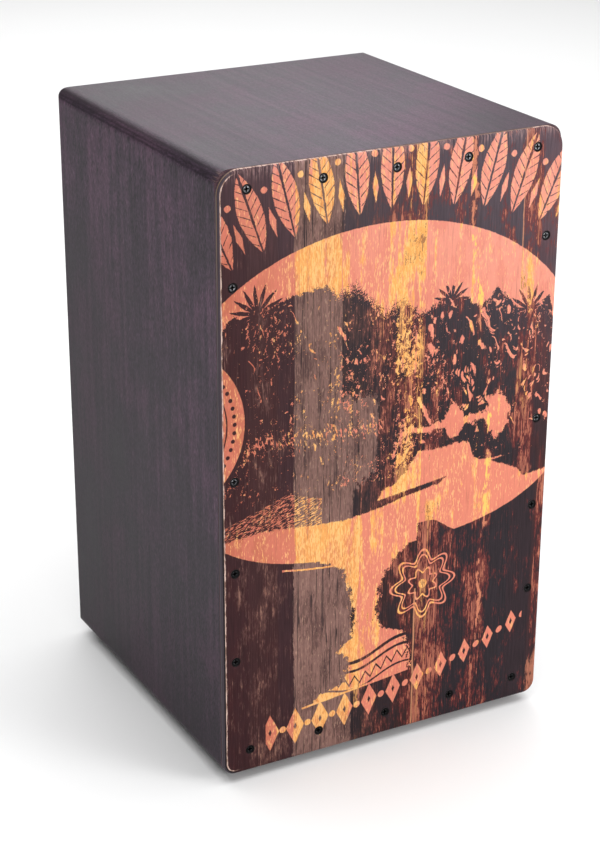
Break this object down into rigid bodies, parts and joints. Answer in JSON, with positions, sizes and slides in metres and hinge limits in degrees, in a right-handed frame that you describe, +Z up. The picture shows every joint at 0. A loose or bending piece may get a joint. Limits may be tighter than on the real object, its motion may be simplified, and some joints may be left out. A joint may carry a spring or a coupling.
{
  "type": "cajon",
  "caption": "Box drum to sit on: stained plywood shell, screwed-on printed striking board, rear sound port and a swinging snare bar inside.",
  "frame": {"origin": "on the floor, at the centre of the footprint", "axes": "+Z up, -Y out of the striking board towards the listener, +X to the right when facing the striking board"},
  "size_m": [0.3, 0.3, 0.509],
  "materials": {
    "stained_ply": "dark purple-grey stain under a satin lacquer",
    "printed_board": "weathered-plank print on plywood, satin lacquer",
    "raw_batten": "bare sawn softwood",
    "hardwood_bar": "oiled turned hardwood",
    "black_screw": "black oxide",
    "zinc_steel": "bright zinc",
    "snare_steel": "drawn spring steel",
    "foot_rubber": "matte moulded rubber",
    "spacer_nylon": "natural nylon",
    "knob_plastic": "glossy black ball knob"
  },
  "bodies": {
    "drum": {"seat_panel": "stained_ply", "bottom_panel": "stained_ply", "left_side_panel": "stained_ply", "right_side_panel": "stained_ply", "back_panel": "stained_ply", "striking_board": "printed_board", "front_batten_top": "raw_batten", "front_batten_bottom": "raw_batten", "front_batten_left": "raw_batten", "front_batten_right": "raw_batten", "rear_batten_top": "raw_batten", "rear_batten_bottom": "raw_batten", "rear_batten_left": "raw_batten", "rear_batten_right": "raw_batten", "glue_strip_top_left": "raw_batten", "glue_strip_top_right": "raw_batten", "glue_strip_bottom_left": "raw_batten", "glue_strip_bottom_right": "raw_batten", "board_screws_top": "black_screw", "board_screws_bottom": "black_screw", "board_screws_left": "black_screw", "board_screws_right": "black_screw", "back_panel_screws": "black_screw", "foot_front_left": "foot_rubber", "foot_front_right": "foot_rubber", "foot_rear_left": "foot_rubber", "foot_rear_right": "foot_rubber", "foot_washers": "zinc_steel", "foot_screws": "black_screw", "snare_spacer_left": "spacer_nylon", "snare_spacer_right": "spacer_nylon"},
    "snare_throw": {"snare_bar": "hardwood_bar", "snare_clip_left": "zinc_steel", "snare_clip_right": "zinc_steel", "snare_clip_screws": "zinc_steel", "snare_wires_left": "snare_steel", "snare_wires_right": "snare_steel", "snare_lever": "zinc_steel", "snare_knob": "knob_plastic"}
  },
  "joints": [
    {"name": "snare_throw_off", "type": "hinge", "parent": "drum", "child": "snare_throw", "pos_m": [0, -0.136, 0.34325], "axis": [-1, 0, 0], "range_deg": [0, 20]}
  ]
}
